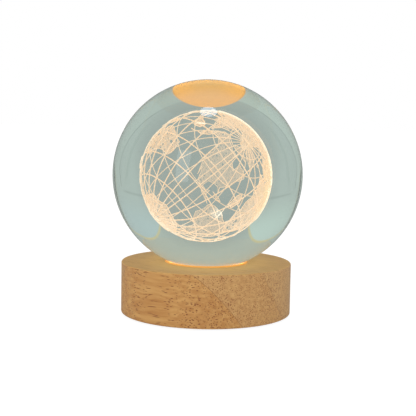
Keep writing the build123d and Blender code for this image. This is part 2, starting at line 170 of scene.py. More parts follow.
# %% [markdown]
# ## The camera
#
# The photograph was taken from a little above the ball's middle, looking down by 5.7 degrees, with the camera turned
# by a degree about its own line of sight. These numbers were fitted to the outlines of the ball and the base.

# %% Set up the camera
LENS, SENSOR = 80.36, 36.0  # millimetres
CAMERA_PLACE = (0.0, -0.39196, 0.0835)
HEADING, DIP, ROLL = -0.058, 5.665, 0.957  # degrees

camera_data = bpy.data.cameras.new("camera")
camera_data.lens, camera_data.sensor_width = LENS, SENSOR
camera_data.clip_start = 0.01
camera = bpy.data.objects.new("camera", camera_data)
bpy.context.scene.collection.objects.link(camera)
camera.matrix_world = (
    Matrix.Translation(CAMERA_PLACE)
    @ Matrix.Rotation(radians(HEADING), 4, "Z")
    @ Matrix.Rotation(radians(90 - DIP), 4, "X")
    @ Matrix.Rotation(radians(ROLL), 4, "Z")
)
bpy.context.scene.camera = camera
bpy.context.scene.view_settings.view_transform = "Standard"
print("camera at", [round(c, 4) for c in camera.location])

# %% [markdown]
# ## Sizes taken from the frame
#
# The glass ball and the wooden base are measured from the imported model, so nothing here can drift from it. The
# engraved globe's middle and turn are the same values that the CAD source has. There, each kind of mark has a depth
# of its own. Here the coasts and strokes are drawn a little further out and the two kinds of line closer together, to
# meet the globe's outline in the photograph.

# %% Measure the frame
ball_low, ball_high = (Vector(corner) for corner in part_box("crystal_ball"))
BALL_CENTRE = (ball_low + ball_high) / 2
BALL_RADIUS = (ball_high.z - ball_low.z) / 2
BASE_TOP = Vector(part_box("wooden_base")[1]).z
GLOBE_CENTRE = Vector((-0.57 * MM, 0.0, BALL_CENTRE.z - 0.39 * MM))
GLOBE_RADIUS = 18.25 * MM
LINE_RADIUS = 0.14 * MM
LINE_GAP = 0.03 * MM  # lines of longitude lie this far inside the globe's radius, lines of latitude outside it
DRAWN_RADIUS = 18.5 * MM  # coasts and strokes lie just outside the net of lines
LAND_RADIUS = 17.7 * MM  # between the inner and the outer faces of the CAD source's land
POLE_WAY, POLE_LEAN, GLOBE_SPIN = -33.0, 53.2, 30.4  # degrees: where the pole leans to, how far, and the globe's spin

globe_turn = (
    Matrix.Translation(GLOBE_CENTRE)
    @ Matrix.Rotation(radians(POLE_WAY), 4, "Z")
    @ Matrix.Rotation(radians(POLE_LEAN), 4, "Y")
    @ Matrix.Rotation(radians(GLOBE_SPIN), 4, "Z")
)
print("ball", round(BALL_RADIUS, 4), "at", [round(c, 4) for c in BALL_CENTRE], "base top", round(BASE_TOP, 4))
for name, node in sorted(frame["nodes"].items()):
    print(name, len(node.data.polygons), "faces")

# %% [markdown]
# ## The room
#
# The photograph's background is white, but its glass shows a soft grey-green room. So what a ray sees depends on its
# kind: the camera sees white, a ray that has gone through or off the object sees a painted room, and the light that
# falls on the object comes from a plain pale dome.
#
# The ball turns the room upside down and squeezes most of it into its rim. What the photograph shows there was traced
# back through the glass to directions in the room, and it is painted in three layers:
#
# - The walls are grey, and darker in the middle, with a pale panel on each side. Glass bends blue light more than
#   red, which gives the panels an orange fringe.
# - A grey screen stands behind the lamp. Its outline is a thin dark line, and what lies beyond it is paler. A black
#   strip at each side becomes the dark line along the ball's edge.
# - Two lamps are painted for the rays that the glass mirrors, because a small real lamp mirrored in glass gives a
#   grainy picture.
#
# Places and sizes in these layers are parts of a direction of length 1, with x to the right, y to the back and z up.

# %% Paint the walls
ROOM_GREY, UPPER_GREY, MIDDLE_GREY = (0.69, 0.72, 0.695), (0.68, 0.69, 0.64), (0.555, 0.565, 0.55)
PANEL_LEFT, PANEL_RIGHT, PANEL_FRINGE = (0.82, 0.91, 0.86), (0.71, 0.79, 0.81), (0.98, 0.80, 0.46)
PANEL_OFF, RIGHT_PANEL_SHIFT = 0.60, 0.04
PANEL_HALF_WIDTH, PANEL_HALF_HEIGHT, PANEL_SQUARENESS = 0.31, 0.56, 2.7


def walls(sheet, x, y, z):
    """Grey walls, darker in the middle, with a soft pale panel at the back on each side."""
    side, right = x.apply("ABSOLUTE"), x > 0.0
    colour = sheet.mix(z.ease(0.1, 0.5), ROOM_GREY, UPPER_GREY)
    middle = (1.0 - (x * x + z * z).ease(0.10, 0.36)) * y.ease(0.0, 0.5)
    colour = sheet.mix(middle, colour, MIDDLE_GREY)
    off = ((side - PANEL_OFF - right * RIGHT_PANEL_SHIFT) / PANEL_HALF_WIDTH).apply("ABSOLUTE")
    up = (z / PANEL_HALF_HEIGHT).apply("ABSOLUTE")
    edge = off ** PANEL_SQUARENESS + up ** PANEL_SQUARENESS  # 1 on the panel's rounded outline
    lift = z.ease(0.05, 0.42) * (y > 0.0)
    colour = sheet.mix((1.0 - edge.ease(0.92, 1.08)) * lift, colour, sheet.mix(right, PANEL_LEFT, PANEL_RIGHT))
    return sheet.mix(edge.band((0.93, 1.02), (1.05, 1.16)) * lift * 0.85, colour, PANEL_FRINGE)


print("painted: the walls, with panels", 2 * PANEL_HALF_WIDTH, "wide")

# %% Paint the screen and the strips
BEYOND_SCREEN, SCREEN_LINE = (0.82, 0.87, 0.81), (0.25, 0.26, 0.26)
SCREEN_HALF_WIDTH, SCREEN_HALF_HEIGHT, HEM_HEIGHT = 0.80, 0.455, 0.115
STRIP_BLACK, STRIP_FRINGE = (0.04, 0.045, 0.035), (0.85, 0.76, 0.42)
STRIP_FROM, STRIP_TO = (1.16, 1.18), (1.255, 1.28)  # radians from straight behind the lamp


def screen_and_strips(sheet, colour, x, y, z):
    """The outline and hem of a grey screen behind the lamp, and a black strip at each side, over the walls."""
    side, left = x.apply("ABSOLUTE"), x < 0.0
    flat, deep = side / (SCREEN_HALF_WIDTH + left * 0.03), z / (SCREEN_HALF_HEIGHT + left * 0.02)
    edge = (flat * flat + deep * deep).apply("SQRT")  # 1 on the screen's outline
    beyond = edge.ease(1.0, 1.02) * (1.0 - z.ease(0.0, 0.15)) * (0.7 - x.ease(-0.3, 0.3) * 0.4)
    colour = sheet.mix(beyond, colour, BEYOND_SCREEN)
    line = edge.close_to(1.0, 0.002, 0.013) * (z < 0.08) * side.ease(0.2, 0.36)
    colour = sheet.mix(line * 0.42, colour, SCREEN_LINE)
    hem = z.close_to(HEM_HEIGHT, 0.004, 0.016) * side.band((0.40, 0.50), (0.72, 0.78)) * (y > 0.3)
    colour = sheet.mix(hem * 0.2, colour, SCREEN_LINE)
    turn, height = side.apply("ARCTAN2", y), z.band((-0.2, 0.0), (0.45, 0.72))
    colour = sheet.mix(turn.band((1.11, 1.14), (1.15, 1.175)) * height * 0.4, colour, STRIP_FRINGE)
    return sheet.mix(turn.band(STRIP_FROM, STRIP_TO) * height * 0.95, colour, STRIP_BLACK)


print("painted: the screen and the strips")

# %% Paint the lamps and put the room together
OVERHEAD, SOFTBOX = Vector((0.0, -0.12, 1.05)), Vector((-0.52, -0.9, 0.28))
OVERHEAD_GLARE, SOFTBOX_GLARE = (4.2, 5.1, 6.4), (1.9, 2.1, 2.1)
OVERHEAD_EDGE = (0.9905, 0.9915)  # cosines of the angle from the lamp's middle
SOFTBOX_HALF_WIDTH, SOFTBOX_HALF_HEIGHT = (0.12, 0.15), (0.28, 0.31)  # full up to the first, gone at the second
SOFTBOX_MIDDLE = 0.21
MIRROR_DIMMING = 0.55

to_overhead, to_softbox = (OVERHEAD - BALL_CENTRE).normalized(), (SOFTBOX - BALL_CENTRE).normalized()
across_softbox = to_softbox.cross(Vector((0, 0, 1))).normalized()


def seen_share(sheet):
    """The kinds of ray, 1 for rays through glass or off a shiny surface, and 1 for the second kind alone."""
    rays = sheet.add("ShaderNodeLightPath", {}, {})
    through, shiny = rays.out("Is Transmission Ray"), rays.out("Is Glossy Ray")
    return rays, through.apply("MAXIMUM", shiny), shiny * (1.0 - through)


def room_colour(sheet, direction, mirrored):
    """The painted room in a direction. Mirrored rays see it dimmer, and see the lamps."""
    way = direction.measure("NORMALIZE")
    x, y, z = way.parts()
    colour = screen_and_strips(sheet, walls(sheet, x, y, z), x, y, z)
    colour = sheet.mix(mirrored * MIRROR_DIMMING, colour, (0.0, 0.0, 0.0))
    disc = way.measure("DOT_PRODUCT", tuple(to_overhead), "Value").ease(*OVERHEAD_EDGE)
    colour = sheet.mix(disc * mirrored, colour, OVERHEAD_GLARE)
    facing = way.measure("DOT_PRODUCT", tuple(to_softbox), "Value") > 0.0
    across = way.measure("DOT_PRODUCT", tuple(across_softbox), "Value")
    box = across.close_to(0.0, *SOFTBOX_HALF_WIDTH) * z.close_to(SOFTBOX_MIDDLE, *SOFTBOX_HALF_HEIGHT) * facing
    return sheet.mix(box * mirrored, colour, SOFTBOX_GLARE)


print("painted lamps at", tuple(OVERHEAD), "and", tuple(SOFTBOX))

# %% Light the room
DOME_LOW, DOME_HIGH = (0.70, 0.70, 0.70), (1.15, 1.15, 1.12)

world = bpy.data.worlds.new("room")
bpy.context.scene.world = world
world.use_nodes = True
world.node_tree.nodes.clear()
room = Sheet(world.node_tree)
rays, seen, mirrored = seen_share(room)
way = room.add("ShaderNodeTexCoord", {}, {}, "Generated")
height = way.measure("NORMALIZE").parts()[2]
dome = room.mix(height.ease(0.1, 1.0), DOME_LOW, DOME_HIGH)
dome = room.mix(seen, dome, room_colour(room, way, mirrored))
dome = room.mix(rays.out("Is Camera Ray"), dome, (1.0, 1.0, 1.0))
light_out = room.add("ShaderNodeBackground", {}, {"Color": dome, "Strength": 1.0})
room.add("ShaderNodeOutputWorld", {}, {"Surface": light_out})
print("dome:", len(world.node_tree.nodes), "nodes")

# %% Hang the lamps
def area_light(name, place, target, size, radiance, colour, shape="DISK"):
    """A soft lamp that faces a point; its strength is given as the brightness of its face."""
    light = bpy.data.lights.new(name, "AREA")
    light.shape = shape
    light.size, light.size_y = size
    face = size[0] * size[1] * (pi / 4 if shape == "DISK" else 1.0)
    light.energy = radiance * pi * face
    light.color = colour
    lamp = bpy.data.objects.new(name, light)
    bpy.context.scene.collection.objects.link(lamp)
    lamp.location = place
    lamp.rotation_euler = (Vector(target) - Vector(place)).to_track_quat("-Z", "Y").to_euler()
    lamp.visible_glossy = lamp.visible_transmission = False  # the glass sees the painted lamps, which have no grain
    return lamp


overhead = area_light("overhead_lamp", OVERHEAD, BALL_CENTRE, (0.27, 0.27), 6.0, (0.92, 0.96, 1.0))
softbox = area_light("front_softbox", SOFTBOX, BALL_CENTRE, (0.26, 0.62), 2.6, (0.95, 1.0, 1.0), "RECTANGLE")
print("lamps:", overhead.name, softbox.name)

# %% [markdown]
# ## The table
#
# A wide plain floor. The camera sees it nearly white, with a soft shadow at the base. The glass sees the painted room
# on it too, taken by the direction from the ball's middle, so that the screen's outline goes on below the horizon.
#
# The glass also sees a painted pool of warm light on the table at each of the lamp's four sides, where the lit seat
# shines. The back one was traced back from the orange patch at the top of the ball, and the others make the ball look
# the same all round. Mirrored rays don't see them.

# %% Lay the floor
FLOOR_RADIUS = 6.0
CLOTH_LIGHT, CLOTH_DARK = (0.80, 0.80, 0.79), (0.72, 0.72, 0.71)
CAMERA_WHITE, CAMERA_SHARE = 1.15, 0.78  # the rest of what the camera sees is the lit cloth, with the shadow
# painted light: pools of the seat's warm light on the table, seen only through the glass
PATCH_MIDDLE, PATCH_HALF_LENGTH, PATCH_HALF_WIDTH = 75.0 * MM, 63.0 * MM, 23.8 * MM
PATCH_NEAR, PATCH_BETWEEN, PATCH_FAR = (2.90, 1.15, 0.14), (1.38, 0.61, 0.14), (1.34, 0.68, 0.33)


def painted_seat_light(sheet, where):
    """The painted pools of the seat's warm light on the table: where they are, and their colour."""
    x, y, z = where.parts()
    x, y = x.apply("ABSOLUTE"), y.apply("ABSOLUTE")
    far, off = x.apply("MAXIMUM", y), x.apply("MINIMUM", y)
    along, aside = (far - PATCH_MIDDLE) / PATCH_HALF_LENGTH, off / PATCH_HALF_WIDTH
    warm = sheet.mix(far.ease(48 * MM, 72 * MM), PATCH_NEAR, PATCH_BETWEEN)
    warm = sheet.mix(far.ease(72 * MM, 112 * MM), warm, PATCH_FAR)
    return 1.0 - (along * along + aside * aside).ease(0.96, 1.03), warm


def floor_finish():
    finish = bpy.data.materials.new("pale_table")
    finish.use_nodes = True
    finish.node_tree.nodes.clear()
    sheet = Sheet(finish.node_tree)
    rays, seen, mirrored = seen_share(sheet)
    where = sheet.add("ShaderNodeTexCoord", {}, {}, "Object")
    patch, warm = painted_seat_light(sheet, where)
    painted = room_colour(sheet, where - tuple(BALL_CENTRE), mirrored)
    # painted light: the seat's warm pools on the table, for rays through the glass
    painted = sheet.mix(patch * (1.0 - mirrored), painted, warm)
    cloth = sheet.mix(sheet.noise(where, 40.0) * 0.1, CLOTH_LIGHT, CLOTH_DARK)
    lit = sheet.add("ShaderNodeBsdfDiffuse", {}, {"Color": cloth})
    white = sheet.add("ShaderNodeEmission", {}, {"Color": (1, 1, 1, 1), "Strength": CAMERA_WHITE})
    paint = sheet.add("ShaderNodeEmission", {}, {"Color": painted, "Strength": 1.0})
    share = rays.out("Is Camera Ray") * CAMERA_SHARE
    table = sheet.add("ShaderNodeMixShader", {}, {0: share, 1: lit, 2: white})
    table = sheet.add("ShaderNodeMixShader", {}, {0: seen, 1: table, 2: paint})
    sheet.add("ShaderNodeOutputMaterial", {}, {"Surface": table})
    return finish


def new_piece(name, mesh):
    """An object at the origin that holds a finished mesh."""
    piece = bpy.data.objects.new(name, mesh)
    bpy.context.scene.collection.objects.link(piece)
    return piece


floor_mesh = bpy.data.meshes.new("table")
shape = bmesh.new()
bmesh.ops.create_circle(shape, cap_ends=True, cap_tris=False, segments=96, radius=FLOOR_RADIUS)
shape.to_mesh(floor_mesh)
shape.free()
floor = new_piece("table_top", floor_mesh)
floor_mesh.materials.append(floor_finish())
print("floor:", len(floor_mesh.polygons), "face")

# %% [markdown]
# ## Geometry Nodes in a script
#
# What repeats is made by a node tree: the ball, the net of lines, the coasts and the strokes that fill the land. Each
# tree has named inputs. `grow` gives a tree to a new object, sets the inputs, keeps the result as a plain mesh and
# takes the modifier away, because the export needs plain meshes.

# %% Helpers for geometry trees
SOCKET_KINDS = {float: "NodeSocketFloat", int: "NodeSocketInt"}


def geometry_tree(name, values):
    """A new tree with one named input for each value, and the wires of those inputs."""
    tree = bpy.data.node_groups.new(name, "GeometryNodeTree")
    for key, value in values.items():
        socket = tree.interface.new_socket(key, in_out="INPUT", socket_type=SOCKET_KINDS[type(value)])
        socket.default_value = value
    tree.interface.new_socket("Geometry", in_out="OUTPUT", socket_type="NodeSocketGeometry")
    sheet = Sheet(tree)
    first = sheet.add("NodeGroupInput", {}, {})
    return sheet, {key: first.out(key) for key in values}


def close_tree(sheet, geometry, finish):
    """Realize Instances, Set Material and the output."""
    real = sheet.add("GeometryNodeRealizeInstances", {}, {0: geometry})
    done = sheet.add("GeometryNodeSetMaterial", {}, {"Geometry": real, "Material": finish})
    sheet.add("NodeGroupOutput", {}, {0: done})


def grow(name, sheet, values, turn=None):
    """Runs a tree on a new object and returns the result as a plain mesh object, turned into its place."""
    seed_object = new_piece(name + "_tree", bpy.data.meshes.new(name + "_tree"))
    modifier = seed_object.modifiers.new("tree", "NODES")
    modifier.node_group = sheet.tree
    for item in sheet.tree.interface.items_tree:
        if item.in_out == "INPUT":
            modifier[item.identifier] = values[item.name]
    bpy.context.view_layer.update()
    evaluated = seed_object.evaluated_get(bpy.context.evaluated_depsgraph_get())
    mesh = bpy.data.meshes.new_from_object(evaluated)
    mesh.name = name
    seed_object.modifiers.clear()
    bpy.data.objects.remove(seed_object)
    if turn is not None:
        mesh.transform(turn)
    print(name, "has", len(mesh.polygons), "faces")
    return new_piece(name, mesh)


def tube(sheet, curve, radius, sides, scale=1.0):
    """A round tube along curves, with closed ends; scale may vary along them."""
    ring = sheet.add("GeometryNodeCurvePrimitiveCircle", {}, {"Resolution": sides, "Radius": radius})
    inputs = {"Curve": curve, "Profile Curve": ring, "Scale": scale, "Fill Caps": True}
    return sheet.add("GeometryNodeCurveToMesh", {}, inputs)


print("ready: geometry_tree, close_tree, grow and tube")

# %% [markdown]
# ## Crystal glass
#
# Polished optical glass with an index of 1.517. The faint grey-green is the glass's own colour and the room's, and
# light picks it up at each crossing. Nothing varies over it, because a polished ball has no grain.

# %% Mix the glass
def principled(name, base, roughness, extra=None, bump=None):
    """A material with one Principled shader; base, roughness and extra may be wires of its own sheet."""
    finish = bpy.data.materials.new(name)
    finish.use_nodes = True
    finish.node_tree.nodes.clear()
    sheet = Sheet(finish.node_tree)
    where = sheet.add("ShaderNodeTexCoord", {}, {}, "Object")
    base = base(sheet, where) if callable(base) else (*base, 1.0)
    roughness = roughness(sheet, where) if callable(roughness) else roughness
    inputs = {"Base Color": base, "Roughness": roughness}
    for key, value in (extra or {}).items():
        inputs[key] = value(sheet, where) if callable(value) else value
    if bump:
        depth, height = bump
        settings = {"Height": height(sheet, where), "Distance": depth, "Strength": 1.0}
        inputs["Normal"] = sheet.add("ShaderNodeBump", {}, settings)
    surface = sheet.add("ShaderNodeBsdfPrincipled", {}, inputs)
    sheet.add("ShaderNodeOutputMaterial", {}, {"Surface": surface})
    return finish


crystal_glass = principled(
    "crystal_glass", (0.60, 0.70, 0.66), 0.0, {"IOR": 1.5168, "Transmission Weight": 1.0}
)
print("made", crystal_glass.name)

# %% [markdown]
# ## The ball
#
# The ball is ground and polished to a true sphere. A sphere with poles would pinch there, so an icosphere of 81,920
# even triangles is used, smooth-shaded: its flats are 0.6 mm and bend no light that one can see. It replaces the CAD
# ball, whose cavities for the marks would show as glass walls. It casts no shadow, because clear glass lets the light
# through to the wood, and a plain shadow ray would stop at it.

# %% Grow the ball
ball_values = {"Radius": BALL_RADIUS, "Fineness": 7}
sheet, given = geometry_tree("ball", ball_values)
sphere = sheet.add("GeometryNodeMeshIcoSphere", {}, {"Radius": given["Radius"], "Subdivisions": given["Fineness"]})
smooth = sheet.add("GeometryNodeSetShadeSmooth", {}, {0: sphere})
close_tree(sheet, smooth, crystal_glass)
ball = grow("ball_of_glass", sheet, ball_values, Matrix.Translation(BALL_CENTRE))
ball.visible_shadow = False
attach(ball, "ball")
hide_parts("crystal_ball")

# %% [markdown]
# ## Laser marks
#
# A laser makes rows of tiny cracks inside the glass. They are white, and here the light under the ball makes them
# glow a warm peach. A Principled shader with its own glow stands for that. The glow follows the photograph: it is
# stronger at the right and low down, round the rim that one sees edge-on from the front, and at two glints where the
# marks catch a lamp. It sparkles a little from crack to crack.

# %% Mix the glow of the marks
MARK_PLAIN, MARK_RIGHT, MARK_LOW = (0.47, 0.33, 0.235), (0.86, 0.59, 0.27), (0.78, 0.70, 0.62)
MARK_RIM, MARK_GLINT, MARK_DULL = (1.12, 0.98, 0.84), (1.1, 0.98, 0.85), (0.42, 0.25, 0.14)
RIM_PLACE = 0.23  # seen from the front through the glass, the rim lies this far behind the globe's middle
GLINTS = (((0.21, -0.77, -0.58), 0.17), ((-0.09, -0.40, 0.91), 0.13))  # place and width; all three in globe radii


def mark_glow(sheet, where):
    place = (where - tuple(GLOBE_CENTRE)) * (1 / GLOBE_RADIUS)
    x, y, z = place.parts()
    right = (x - z * 0.2).ease(0.8, 1.08)
    low = (-0.2 - z).ease(0.0, 0.9)
    rim = y.close_to(RIM_PLACE, 0.04, 0.24) * (0.2 + (x + z * 0.35).ease(0.2, 0.9) * 0.3)
    glow = sheet.mix(right * 0.35, MARK_PLAIN, MARK_RIGHT)
    glow = sheet.mix(low * 0.2, glow, MARK_LOW)
    glow = sheet.mix(rim, glow, MARK_RIM)
    for spot, width in GLINTS:
        glint = 1.0 - (place - spot).measure("LENGTH", out="Value").ease(0.2 * width, width)
        glow = sheet.mix(glint * 0.7, glow, MARK_GLINT)
    sparkle = sheet.noise(where, 2000.0, 1.0)
    return sheet.mix(sparkle.ease(0.4, 0.65) * 0.5, glow, MARK_DULL)


laser_marks = principled(
    "laser_marks", (0.60, 0.52, 0.44), 0.7, {"Emission Color": mark_glow, "Emission Strength": 1.6}
)
laser_marks.cycles.emission_sampling = "NONE"  # so many small faces are too many to aim light rays at
print("made", laser_marks.name)

# %% [markdown]
# ## The net of lines
#
# Twenty-four half circles of longitude, 15 degrees apart, and nine circles of latitude, 18 degrees apart. In the tree
# one half circle is turned round the pole on 24 points, and one circle is put on nine points of the pole's line, each
# scaled to its latitude; then a tube 0.28 mm thick is run along them all. The lines of longitude stop short of the
# poles, so that they don't clot.

# %% Grow the lines of longitude
LINE_SIDES = 8

longitude_values = {"Radius": GLOBE_RADIUS - LINE_GAP, "Line": LINE_RADIUS, "Count": 24, "End": radians(85.5)}
sheet, given = geometry_tree("longitude_lines", longitude_values)
arc = sheet.add(
    "GeometryNodeCurveArc",
    {"mode": "RADIUS"},
    {
        "Resolution": 144,
        "Radius": given["Radius"],
        "Start Angle": given["End"] * -1.0,
        "Sweep Angle": given["End"] * 2.0,
    },
)
arc = sheet.add("GeometryNodeTransform", {}, {"Geometry": arc, "Rotation": Euler((radians(90), 0, 0))})
points = sheet.add("GeometryNodePoints", {}, {"Count": given["Count"]})
place = sheet.add("GeometryNodeInputIndex", {}, {})
turn = sheet.add("ShaderNodeCombineXYZ", {}, {"Z": place * (2 * pi) / given["Count"]})
turn = sheet.add("FunctionNodeEulerToRotation", {}, {0: turn})
arcs = sheet.add("GeometryNodeInstanceOnPoints", {}, {"Points": points, "Instance": arc, "Rotation": turn})
arcs = sheet.add("GeometryNodeRealizeInstances", {}, {0: arcs})
lines = sheet.add("GeometryNodeSetShadeSmooth", {}, {0: tube(sheet, arcs, given["Line"], LINE_SIDES)})
close_tree(sheet, lines, laser_marks)
longitudes = grow("lines_of_longitude", sheet, longitude_values, globe_turn)
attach(longitudes, "ball")
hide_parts("engraved_meridians")

# %% Grow the lines of latitude
latitude_values = {"Radius": GLOBE_RADIUS + LINE_GAP, "Line": LINE_RADIUS, "Count": 9, "Step": radians(18)}
sheet, given = geometry_tree("latitude_lines", latitude_values)
points = sheet.add("GeometryNodePoints", {}, {"Count": given["Count"]})
place = sheet.add("GeometryNodeInputIndex", {}, {})
latitude = (place - (given["Count"] - 1.0) / 2.0) * given["Step"]
height = sheet.add("ShaderNodeCombineXYZ", {}, {"Z": latitude.apply("SINE") * given["Radius"]})
points = sheet.add("GeometryNodeSetPosition", {}, {"Geometry": points, "Position": height})
width = latitude.apply("COSINE") * given["Radius"]
size = sheet.add("ShaderNodeCombineXYZ", {}, {"X": width, "Y": width, "Z": 1.0})
circle = sheet.add("GeometryNodeCurvePrimitiveCircle", {}, {"Resolution": 240, "Radius": 1.0})
circles = sheet.add("GeometryNodeInstanceOnPoints", {}, {"Points": points, "Instance": circle, "Scale": size})
circles = sheet.add("GeometryNodeRealizeInstances", {}, {0: circles})
lines = sheet.add("GeometryNodeSetShadeSmooth", {}, {0: tube(sheet, circles, given["Line"], LINE_SIDES)})
close_tree(sheet, lines, laser_marks)
latitudes = grow("lines_of_latitude", sheet, latitude_values, globe_turn)
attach(latitudes, "ball")
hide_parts("engraved_parallels")

# %% [markdown]
# ## Land
#
# The CAD source has the land as thin curved plates with plain outlines. The real engraving draws each coast as a
# ragged line and fills the land with fine wavy strokes that one can half see through. Both come from the CAD plates:
#
# - A copy of the plates is merged and moved so that the globe's middle is the origin. It is only a mask.
# - A smooth random shift, the same for both trees, makes the plain coasts ragged.
# - The coast tree follows the plates' sharp outer edges and draws them just outside the net of lines.
# - The stroke tree cuts the globe into slices, waves the circles that this gives, and keeps what a ray from the
#   middle finds to be land, apart from random gaps. The gaps are fewer at the right, and the strokes are thicker at
#   the right, at the back and at the top, where the photograph's land is denser.

# %% Prepare the mask
mask_mesh = frame["nodes"]["engraved_land"].data.copy()
shape = bmesh.new()
shape.from_mesh(mask_mesh)
bmesh.ops.remove_doubles(shape, verts=shape.verts, dist=0.002 * MM)
shape.to_mesh(mask_mesh)
shape.free()
mask_mesh.transform(Matrix.Translation(-GLOBE_CENTRE))
land_mask = new_piece("land_mask", mask_mesh)
print("mask:", len(mask_mesh.vertices), "points")

RAGGED = {"Coarse": 1.3 * MM, "Fine": 0.5 * MM}
COARSE_WAVES, FINE_WAVES = 260.0, 900.0  # waves per metre
SHARP_ANGLE = 0.8  # radians; the plates' rims are sharper than this, and their faces are not
MID_GREY = (0.5, 0.5, 0.5)  # taken off a random colour, so that a shift goes all ways alike


def raggedness(sheet, where, given):
    """The random shift that turns a plain coast into a ragged one."""
    coarse = (sheet.noise(where, COARSE_WAVES, 1.0, out="Color") - MID_GREY) * given["Coarse"]
    fine = (sheet.noise(where, FINE_WAVES, 2.0, out="Color") - MID_GREY) * given["Fine"]
    return coarse + fine


# %% Grow the coasts
COAST_SIDES = 5

coast_values = {"Radius": DRAWN_RADIUS, "Line": 0.11 * MM, "Step": 0.18 * MM, **RAGGED}
sheet, given = geometry_tree("coasts", coast_values)
plates = sheet.add("GeometryNodeObjectInfo", {}, {"Object": land_mask}, "Geometry")
where = sheet.add("GeometryNodeInputPosition", {}, {})
sharp = sheet.add("GeometryNodeInputMeshEdgeAngle", {}, {}) > SHARP_ANGLE
outer = where.measure("LENGTH", out="Value") > LAND_RADIUS
coast = sheet.add("GeometryNodeMeshToCurve", {}, {"Mesh": plates, "Selection": (sharp * outer) > 0.9})
coast = sheet.add("GeometryNodeResampleCurve", {"mode": "LENGTH"}, {"Curve": coast, "Length": given["Step"]})
ragged = (where - raggedness(sheet, where, given)).measure("NORMALIZE") * given["Radius"]
coast = sheet.add("GeometryNodeSetPosition", {}, {"Geometry": coast, "Position": ragged})
close_tree(sheet, tube(sheet, coast, given["Line"], COAST_SIDES), laser_marks)
coasts = grow("coasts", sheet, coast_values, Matrix.Translation(GLOBE_CENTRE))
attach(coasts, "ball")
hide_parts("engraved_land")

# %% Grow the strokes
STROKE_SIDES = 3
STROKE_WAVES, GAP_WAVES = 800.0, 1500.0  # waves per metre

stroke_values = {
    "Radius": DRAWN_RADIUS, "Stroke": 0.045 * MM, "Slices": 230, "Step": 0.25 * MM, "Wave": 0.42 * MM,
    "Gaps": 0.28, **RAGGED,
}
sheet, given = geometry_tree("land_strokes", stroke_values)
pitch = given["Radius"] * 2.0 / given["Slices"]
start = sheet.add("ShaderNodeCombineXYZ", {}, {"X": pitch / 2.0 - given["Radius"]})
offset = sheet.add("ShaderNodeCombineXYZ", {}, {"X": pitch})
points = sheet.add("GeometryNodeMeshLine", {}, {"Count": given["Slices"], "Start Location": start, "Offset": offset})
where = sheet.add("GeometryNodeInputPosition", {}, {})
x, y, z = where.parts()
width = (given["Radius"] * given["Radius"] - x * x).apply("SQRT")
circle = sheet.add("GeometryNodeCurvePrimitiveCircle", {}, {"Resolution": 180, "Radius": 1.0})
circle = sheet.add("GeometryNodeTransform", {}, {"Geometry": circle, "Rotation": Euler((0, radians(90), 0))})
size = sheet.add("ShaderNodeCombineXYZ", {}, {"X": 1.0, "Y": width, "Z": width})
slices = sheet.add("GeometryNodeInstanceOnPoints", {}, {"Points": points, "Instance": circle, "Scale": size})
slices = sheet.add("GeometryNodeRealizeInstances", {}, {0: slices})
slices = sheet.add("GeometryNodeResampleCurve", {"mode": "LENGTH"}, {"Curve": slices, "Length": given["Step"]})
wave = (sheet.noise(where, STROKE_WAVES, 1.0, out="Color") - MID_GREY) * given["Wave"]
waved = (where + wave).measure("NORMALIZE") * given["Radius"]
slices = sheet.add("GeometryNodeSetPosition", {}, {"Geometry": slices, "Position": waved})
wire_edges = sheet.add("GeometryNodeCurveToMesh", {}, {"Curve": slices})
plates = sheet.add("GeometryNodeObjectInfo", {}, {"Object": land_mask}, "Geometry")
aim = (where + raggedness(sheet, where, given)).measure("NORMALIZE")
hit = sheet.add(
    "GeometryNodeRaycast",
    {},
    {"Target Geometry": plates, "Source Position": where * 0.0, "Ray Direction": aim, "Ray Length": 0.1},
    "Is Hit",
)
gap = sheet.noise(where, GAP_WAVES, 0.0) < given["Gaps"] * (1.0 - x.ease(4 * MM, 12 * MM) * 0.5)
wire_edges = sheet.add(
    "GeometryNodeDeleteGeometry", {"domain": "POINT"}, {"Geometry": wire_edges, "Selection": (1.0 - hit + gap) > 0.5}
)
strokes = sheet.add("GeometryNodeMeshToCurve", {}, {"Mesh": wire_edges})
thick = 1.0 + y.ease(-4 * MM, 8 * MM) * 0.4 + x.ease(9 * MM, 16 * MM) * 0.5 + z.ease(11 * MM, 16 * MM) * 0.6
close_tree(sheet, tube(sheet, strokes, given["Stroke"], STROKE_SIDES, thick), laser_marks)
strokes = grow("land_strokes", sheet, stroke_values, Matrix.Translation(GLOBE_CENTRE))
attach(strokes, "ball")
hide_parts("engraved_land")
bpy.data.objects.remove(land_mask)

# %% [markdown]
# ## Wood
#
# The base is turned from a block that was glued up from strips of a pale hardwood. Its fibres lie level and run from
# the back left to the front right, so the left of the rim shows long dashes, where the pores are cut along, and the
# front and right show dots, where they are cut across. The pattern is solid: it depends on the place in the wood and
# not on the surface, so that a pore goes on from the rim to the top. The strips are leaning slabs, so that their glue
# lines slope across the rim, and each strip is cut from another place in the wood. The top has painted light on it:
# it is lighter and warmer, most near the seat, as if the lit seat shone on it.

# %% Set out the wood
FIBRE_TURN = radians(36.0)  # turns the wood so that its fibres lie along x
GLUE_TILT = (0.832, 0.555)  # square to the glued faces: the parts across the fibres and up
GLUE_START, STRIP_WIDTH = -14.4 * MM, 18.3 * MM
PORE_STRETCH, STREAK_STRETCH, BAND_STRETCH = (0.062, 1.0, 1.0), (0.06, 1.0, 1.0), (0.12, 1.0, 0.7)
PORE_WAVES, STREAK_WAVES, BAND_WAVES, WARP_WAVES = 1850.0, 700.0, 130.0, 90.0  # waves per metre
WARP, STRIP_SHIFT = 1.6 * MM, 100.0 * MM


